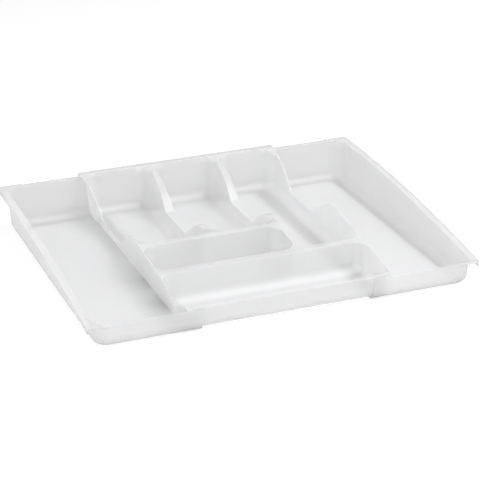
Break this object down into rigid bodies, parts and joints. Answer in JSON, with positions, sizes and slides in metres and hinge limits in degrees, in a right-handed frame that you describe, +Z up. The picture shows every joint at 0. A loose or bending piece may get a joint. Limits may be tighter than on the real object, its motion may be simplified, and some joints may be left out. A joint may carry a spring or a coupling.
{
  "type": "cutlery tray",
  "caption": "Shallow cutlery tray with a high back and a low front: a compartment tray lying in end trays that slide in and out to fit the drawer.",
  "frame": {"origin": "on the surface that the tray stands on, under the middle of its outline with both ends drawn out", "axes": "+X along the slides, from the left end tray to the right one; +Y from the low front to the high back wall; +Z up"},
  "size_m": [0.4482, 0.3802, 0.0539],
  "materials": {
    "centre_plastic": "frosted translucent polypropylene, satin",
    "extension_plastic": "frosted translucent polypropylene, satin"
  },
  "bodies": {
    "centre": {"centre_tray": "centre_plastic"},
    "left_extension": {"left_extension_tray": "extension_plastic"},
    "right_extension": {"right_extension_tray": "extension_plastic"}
  },
  "joints": [
    {"name": "left_slide", "type": "slide", "parent": "centre", "child": "left_extension", "axis": [1, 0, 0], "range_m": [0, 0.093]},
    {"name": "right_slide", "type": "slide", "parent": "centre", "child": "right_extension", "axis": [-1, 0, 0], "range_m": [0, 0.093]}
  ]
}
